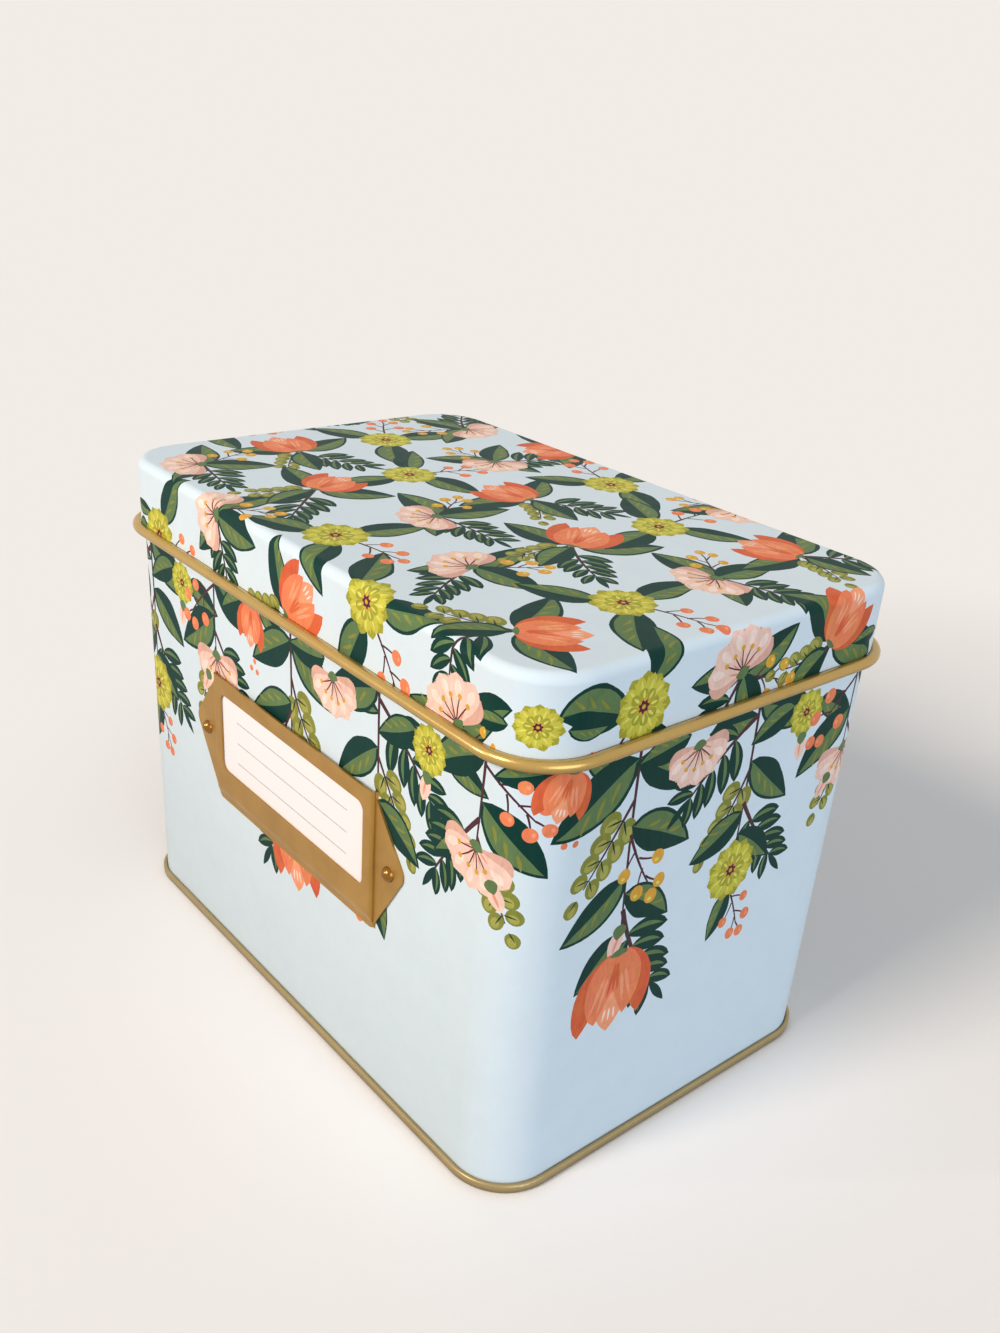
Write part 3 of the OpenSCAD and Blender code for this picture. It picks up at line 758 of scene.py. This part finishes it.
def lid_sheet():
    """The lid's flat outline with its two strap notches, no holes, and the lines along which it folds."""
    edge = HALF_Y + CORNER_R + SHEET_REACH
    notch = edge - (NOTCH_TOP - SKIRT_FOOT)
    outline = []
    for corner in CORNERS:
        outline += corner_arc(corner, SHEET_REACH)
        if corner == BACK_RIGHT:
            for a, b in ((NOTCH_OUT, NOTCH_IN), (-NOTCH_IN, -NOTCH_OUT)):
                outline += [(a, edge), (a, notch), (b, notch), (b, edge)]
    folds = []
    for k in range(EDGE_CUTS + 1):
        ring = EDGE_START + EDGE_ARC * k / EDGE_CUTS
        loop = [point for corner in CORNERS for point in corner_arc(corner, ring)]
        folds.append(loop + loop[:1])
    for corner in CORNERS:
        folds += zip(corner_arc(corner, EDGE_START), corner_arc(corner, SHEET_REACH))
    return outline, [], folds


def body_sheet():
    """The wall's unrolled outline, its strap slots and rivet holes, and the lines along which it folds."""
    end = ROUND / 2 - SIDE_SEAM_HALF
    outline = [(-end, PRINT_FOOT), (end, PRINT_FOOT), (end, NECK_Z), (-end, NECK_Z)]
    holes, fold_places = [], []
    for side in (-1, 1):
        left, right = (side * (ROUND / 2 - SLOT_X) + half for half in (-SLOT_HALF_L, SLOT_HALF_L))
        low, high = HINGE_Z - SLOT_HALF_H, HINGE_Z + SLOT_HALF_H
        holes.append([(left, low), (right, low), (right, high), (left, high)])
        holes.append(arc_points(side * RIVET_X, RIVET_Z, RIVET_HOLE_R, 0, 360, HOLE_CUTS)[:-1])
        for corner in CORNER_STARTS:
            fold_places += [side * (corner + ARC * k / CORNER_CUTS) for k in range(CORNER_CUTS + 1)]
        fold_places.append(side * ROUND / 4)
    fold_places.append(0)
    return outline, holes, [[(x, PRINT_FOOT), (x, NECK_Z)] for x in fold_places]


def twice_area(outline):
    """Twice the area inside an outline, positive where it runs anticlockwise."""
    x, y = outline[:, 0], outline[:, 1]
    return np.sum(x * np.roll(y, -1) - np.roll(x, -1) * y)


def anticlockwise(outline):
    """An outline's points, the other way round if they run clockwise."""
    outline = np.asarray(outline, float)
    return outline if twice_area(outline) > 0 else outline[::-1]


# delaunay_2d_cdt's settings: it keeps every triangle, and points nearer than this count as one
ALL_TRIANGLES, SAME_POINT = 0, 1e-4


def cut(shapes, folds):
    """Triangles of the shapes' plane, cut along every outline and fold, with the shapes that hold each."""
    points, edges, faces = [], [], []
    for shape in shapes:
        faces.append(list(range(len(points), len(points) + len(shape))))
        points += [Vector((float(p[0]), float(p[1]))) for p in shape]
    for fold in folds:
        edges += [(len(points) + k, len(points) + k + 1) for k in range(len(fold) - 1)]
        points += [Vector((float(p[0]), float(p[1]))) for p in fold]
    verts, _, tris, _, _, inside = delaunay_2d_cdt(points, edges, faces, ALL_TRIANGLES, SAME_POINT, True)
    return np.array([tuple(v) for v in verts]), np.array(tris), inside


def inked_face(outline, holes, folds, art):
    """The film's outer face: its flat points, its triangles and the ink of each."""
    shapes = [anticlockwise(shape) for shape in [outline] + holes]
    marks = sorted(art, key=lambda mark: mark[0])
    points, tris, inside = cut(shapes + [anticlockwise(mark[2]) for mark in marks], folds)
    base = len(shapes)
    kept, inks = [], []
    for tri, held in zip(tris, inside):
        if 0 not in held or any(hole in held for hole in range(1, base)):
            continue
        kept.append(tuple(tri))
        top = max(held)
        inks.append(marks[top - base][1] if top >= base else "ground")
    return points, kept, inks


def plain_face(loops, folds):
    """The film's inner face, with the outer one's rim: its flat points and its triangles, turned over."""
    order = np.argsort([abs(twice_area(loop)) for loop in loops])[::-1]
    points, tris, inside = cut([anticlockwise(loops[k]) for k in order], folds)
    return points, [tuple(tri)[::-1] for tri, held in zip(tris, inside) if list(held) == [0]]


def rim_of(tris):
    """The edges that belong to one triangle only, as they run in it."""
    ways = {(a, b) for t in tris for a, b in ((t[0], t[1]), (t[1], t[2]), (t[2], t[0]))}
    return [(a, b) for a, b in ways if (b, a) not in ways]


def loops_of(rim):
    """The rim's edges joined up into closed loops of vertices."""
    follow = dict(rim)
    left = set(follow)
    loops = []
    while left:
        loop, at = [], min(left)
        while at in left:
            left.discard(at)
            loop.append(at)
            at = follow[at]
        loops.append(loop)
    return loops


def numbered(faces, first):
    """The vertices that the faces use, and a new number for each, counted on from first."""
    used = np.unique(np.array(faces))
    return used, {int(v): first + k for k, v in enumerate(used)}


# The map that the export bakes into: the gap round its parts, the share of it that each piece's outer face
# gets, and the strips near its upper right corner for the hidden inner face and for the rim
BAKE_PAD, BODY_SHARE, LID_SHARE = 0.004, 0.95, 0.94
BACK_SHARE, BACK_PLACE = 0.02, 0.975
RIM_SHARE, RIM_LEFT, RIM_FOOT = 0.01, 0.96, 0.985


def bake_body(points, centres):
    """The wall's four quarters, two by two."""
    quarter_run = ROUND / 4
    quarter = np.clip(np.floor((centres[:, 0] + ROUND / 2) / quarter_run), 0, 3)
    u = (points[:, 0] + ROUND / 2 - quarter * ROUND / 4) / quarter_run
    v = points[:, 1] / NECK_Z
    tall = NECK_Z / quarter_run
    cell = 0.5 - 2 * BAKE_PAD
    across = u * cell + quarter % 2 * 0.5 + BAKE_PAD
    up = v * cell * tall + quarter // 2 * 0.5 * tall + BAKE_PAD
    return np.column_stack([across, up]) * BODY_SHARE


def bake_lid(points, _):
    """The lid's sheet as it lies, with its length across the map."""
    reach = HALF_X + CORNER_R + SHEET_REACH
    return (points / (2 * reach) + 0.5) * LID_SHARE + BAKE_PAD


def bake_map(faces, fronts, backs, places, bake_place):
    """Where each corner of each face lies in the map. The faces run from the outer ones, of which there are
    as many as fronts says, over the inner ones to those of the rim. A rim face starts with its outer edge."""
    sizes = np.array([len(face) for face in faces])
    corners = np.array([v for face in faces for v in face])
    centres = np.add.reduceat(places[corners], np.cumsum(sizes) - sizes) / sizes[:, None]
    at = bake_place(places[corners], np.repeat(centres, sizes, axis=0))
    first_back, first_rim = sizes[:fronts].sum(), sizes[:fronts + backs].sum()
    at[first_back:first_rim] = at[first_back:first_rim] * BACK_SHARE + BACK_PLACE
    rims = len(faces) - fronts - backs
    at[first_rim:, 0] = RIM_LEFT + RIM_SHARE * at[first_rim:, 0]
    at[first_rim:, 1] = RIM_FOOT + RIM_SHARE * np.tile([0.0, 0.0, 1.0, 1.0], rims)
    return at


def film_mesh(name, points, normals, faces, inks, map_places):
    """A smooth mesh with an ink to each face and a place in the bake's map for each corner."""
    mesh = bpy.data.meshes.new(name)
    mesh.from_pydata((points * MM).tolist(), [], faces)
    for ink in INK_NAMES:
        mesh.materials.append(INK[ink])
    mesh.polygons.foreach_set("material_index", [INK_NAMES.index(ink) for ink in inks])
    mesh.polygons.foreach_set("use_smooth", [True] * len(faces))
    mesh.uv_layers.new(name="OFBake").data.foreach_set("uv", map_places.ravel())
    mesh.normals_split_custom_set_from_vertices(normals.tolist())
    mesh.validate()
    return mesh


def print_film(name, sheet, art, surface, bake_place, body):
    """A thin closed sheet of print that lies on the tin, one ink to a face."""
    outline, holes, folds = sheet
    flat, front, inks = inked_face(outline, holes, folds, art)
    rim = rim_of(front)
    back_flat, back = plain_face([flat[loop] for loop in loops_of(rim)], folds)
    used, front_number = numbered(front, 0)
    back_used, back_number = numbered(back, len(used))
    outer, inner = flat[used], back_flat[back_used]
    under = {a: len(used) + int(np.argmin(np.linalg.norm(inner - flat[a], axis=1))) for a, _ in rim}
    faces = [tuple(front_number[v] for v in face) for face in front]
    faces += [tuple(back_number[v] for v in face) for face in back]
    faces += [(front_number[b], front_number[a], under[a], under[b]) for a, b in rim]
    inks += ["ground"] * (len(back) + len(rim))
    outer_points, outer_normals = surface(outer, FILM_FACE)
    inner_points, inner_normals = surface(inner, FILM_BACK)
    points = np.concatenate([outer_points, inner_points])
    normals = np.concatenate([outer_normals, -inner_normals])
    map_places = bake_map(faces, len(front), len(back), np.concatenate([outer, inner]), bake_place)
    film = bpy.data.objects.new(name, film_mesh(name, points, normals, faces, inks, map_places))
    bpy.context.scene.collection.objects.link(film)
    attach(film, body)


print_film("body_print", body_sheet(), body_art(), on_wall, bake_body, "box")
print_film("lid_print", lid_sheet(), lid_art(), on_lid, bake_lid, "lid")

# The floor, the world and the lamps. Distances and sizes here are in metres. The floor is one colour to the
# camera and a darker one to the light that it throws back, and it fades into the background with distance.
BACKGROUND = linear("F2ECE7")
FLOOR_TONE, FLOOR_BOUNCE = (0.99, 0.985, 0.985, 1.0), (0.44, 0.43, 0.42, 1.0)
FLOOR_HALF, FADE_MIDDLE, FADE_NEAR, FADE_FAR = 4.0, (0.1, 0.13, 0), 0.19, 0.34
AMBIENT, AMBIENT_STRENGTH = (0.96, 0.96, 0.93, 1.0), 0.34
BOX_MIDDLE = Vector((0, 0, 0.06))
ABOVE_LID_EDGE = Vector((0, -WALL_W / 2 * MM, 0.175))
SPOT_RADIUS = 0.03


def seen_directly(tree):
    """1 for rays from the camera, from a reflection or through glass."""
    rays = put(tree, "ShaderNodeLightPath").outputs
    first = calc(tree, "MAXIMUM", rays["Is Camera Ray"], rays["Is Glossy Ray"])
    return calc(tree, "MAXIMUM", first, rays["Is Transmission Ray"])


def floor_paper():
    """Plain pale paper that glows in the background's colour far out, where it is seen directly."""
    material, tree, shader, place = new_material("floor_paper")
    grain = spread(tree, noise(tree, place, 3, detail=3), 0.997, 1.003)
    bounced = put(tree, "ShaderNodeLightPath").outputs["Is Diffuse Ray"]
    tone = mix(tree, bounced, FLOOR_TONE, FLOOR_BOUNCE)
    tree.links.new(tint(tree, tone, grain), shader.inputs["Base Color"])
    shader.inputs["Roughness"].default_value = 0.9
    shader.inputs["Specular IOR Level"].default_value = 0.2
    distance = put(tree, "ShaderNodeVectorMath", {0: place, 1: FADE_MIDDLE}, operation="DISTANCE")
    reach = {"Value": distance.outputs["Value"], 1: FADE_NEAR, 2: FADE_FAR}
    fade = put(tree, "ShaderNodeMapRange", reach, interpolation_type="SMOOTHSTEP").outputs[0]
    glow = put(tree, "ShaderNodeEmission", {"Color": BACKGROUND, "Strength": 1.0})
    share = calc(tree, "MULTIPLY", fade, seen_directly(tree))
    both = put(tree, "ShaderNodeMixShader", {0: share, 1: shader.outputs[0], 2: glow.outputs[0]})
    output = next(node for node in tree.nodes if node.type == "OUTPUT_MATERIAL")
    tree.links.new(both.outputs[0], output.inputs[0])
    return material


def floor():
    """One large square under the box."""
    mesh = bpy.data.meshes.new("floor")
    corners = [(x * FLOOR_HALF, y * FLOOR_HALF, 0) for x, y in ((-1, -1), (1, -1), (1, 1), (-1, 1))]
    mesh.from_pydata(corners, [], [(0, 1, 2, 3)])
    mesh.materials.append(floor_paper())
    ground = bpy.data.objects.new("floor", mesh)
    bpy.context.scene.collection.objects.link(ground)


def world():
    """Even light from all round, behind which the background's colour is what is seen."""
    studio = bpy.data.worlds.new("studio")
    bpy.context.scene.world = studio
    studio.use_nodes = True
    tree = studio.node_tree
    tree.nodes.clear()
    soft = put(tree, "ShaderNodeBackground", {"Color": AMBIENT, "Strength": AMBIENT_STRENGTH})
    plain = put(tree, "ShaderNodeBackground", {"Color": BACKGROUND, "Strength": 1.0})
    both = put(tree, "ShaderNodeMixShader", {0: seen_directly(tree), 1: soft.outputs[0], 2: plain.outputs[0]})
    output = put(tree, "ShaderNodeOutputWorld")
    tree.links.new(both.outputs[0], output.inputs[0])


def aimed(data, azimuth, elevation, distance, aim):
    """Puts a lamp at a distance from its aim, azimuth degrees from the label side towards +X."""
    lit = bpy.data.objects.new(data.name, data)
    a, e = math.radians(azimuth), math.radians(elevation)
    way = Vector((math.sin(a) * math.cos(e), -math.cos(a) * math.cos(e), math.sin(e)))
    lit.matrix_world = way.to_track_quat("Z", "Y").to_matrix().to_4x4()
    lit.location = way * distance + aim
    bpy.context.scene.collection.objects.link(lit)


def lamp(name, azimuth, elevation, distance, size, level, colour):
    """A round lamp. At level 1 alone it would show a facing surface in the colour it is painted."""
    data = bpy.data.lights.new(name, "AREA")
    data.shape = "DISK"
    data.size = size
    data.energy = level * math.pi ** 2 * distance ** 2
    data.color = colour
    aimed(data, azimuth, elevation, distance, BOX_MIDDLE)


def feathered_spot(name, azimuth, elevation, distance, reach, level, colour):
    """A low spot aimed just above the lid's front edge, so the front fades downwards. Its light fades to
    nothing at the reach from its aim, and the level is counted as in lamp()."""
    data = bpy.data.lights.new(name, "SPOT")
    data.energy = level * 4 * math.pi ** 2 * distance ** 2
    data.color = colour
    data.spot_size = 2 * math.atan(reach / distance)
    data.spot_blend = 1.0
    data.shadow_soft_size = SPOT_RADIUS
    aimed(data, azimuth, elevation, distance, ABOVE_LID_EDGE)


# The photograph's viewpoint: where the camera stood in millimetres, how it was turned in degrees, its focal
# length in the photograph's own pixels, and its vertical shift
CAMERA_PLACE = (214.27, -179.71, 209.97)
CAMERA_YAW, CAMERA_PITCH, CAMERA_ROLL = 48.467, 27.56, 4.397
FOCAL_PIXELS, PHOTO_HEIGHT, SHIFT_UP = 1235.1, 1333, 0.0494
FILM_HEIGHT = 36.0


def camera():
    """The photograph's camera. Its 36 mm of film lie along the picture's height, the longer side."""
    yaw, pitch, roll = (math.radians(d) for d in (CAMERA_YAW, CAMERA_PITCH, CAMERA_ROLL))
    forward = Vector((-math.sin(yaw) * math.cos(pitch), math.cos(yaw) * math.cos(pitch), -math.sin(pitch)))
    right = forward.cross(Vector((0, 0, 1))).normalized()
    up = right.cross(forward)
    across = right * math.cos(roll) + up * math.sin(roll)
    above = up * math.cos(roll) - right * math.sin(roll)
    data = bpy.data.cameras.new("camera")
    data.sensor_width = FILM_HEIGHT
    data.lens = FILM_HEIGHT * FOCAL_PIXELS / PHOTO_HEIGHT
    data.shift_y = SHIFT_UP
    data.clip_start = 0.01
    shot = bpy.data.objects.new("camera", data)
    turn = Matrix((across, above, -forward)).transposed().to_4x4()
    shot.matrix_world = Matrix.Translation(Vector(CAMERA_PLACE) * MM) @ turn
    bpy.context.scene.collection.objects.link(shot)
    bpy.context.scene.camera = shot


floor()
world()
lamp("key", azimuth=-6, elevation=34.5, distance=9.0, size=2.8, level=0.665, colour=(1.0, 0.85, 0.715))
lamp("side", azimuth=84, elevation=17, distance=9.0, size=7.4, level=0.6, colour=(0.775, 0.85, 0.98))
feathered_spot("lid edge", azimuth=-32, elevation=12, distance=2.0, reach=0.18, level=0.37,
               colour=(1.0, 0.88, 0.8))
camera()
bpy.context.scene.view_settings.view_transform = "Standard"
